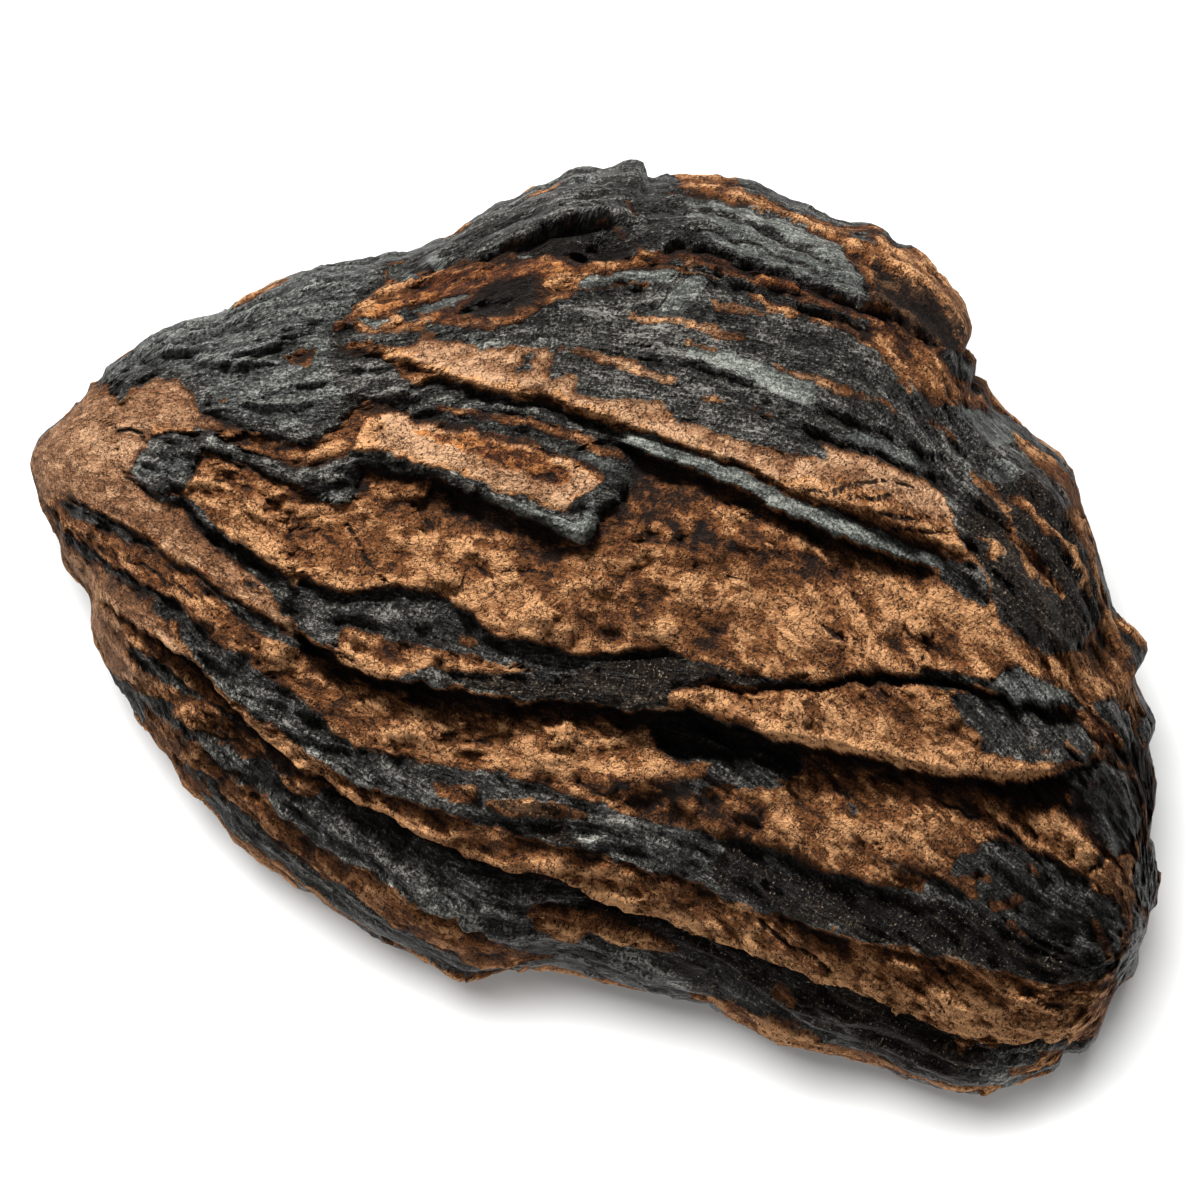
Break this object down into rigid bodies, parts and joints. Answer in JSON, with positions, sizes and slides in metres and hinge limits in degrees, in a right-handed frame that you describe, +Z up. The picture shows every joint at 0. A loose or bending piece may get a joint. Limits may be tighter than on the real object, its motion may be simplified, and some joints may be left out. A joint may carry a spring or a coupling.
{
  "type": "fossil mammoth tooth",
  "caption": "Weathered mammoth molar lying on its side: long enamel plates between brown cement, with ledges, gaps and a worn tip.",
  "frame": {"origin": "middle of the tooth's outline seen from above, on the surface that it rests on", "axes": "+X along the plates towards the broad end, +Z up, the showing side faces up and towards -Y"},
  "size_m": [0.1998, 0.1432, 0.0828],
  "materials": {
    "fossil": "matte brown cement with dark, slightly glossy enamel plates"
  },
  "bodies": {
    "root": {"mammoth_tooth": "fossil"}
  },
  "joints": []
}
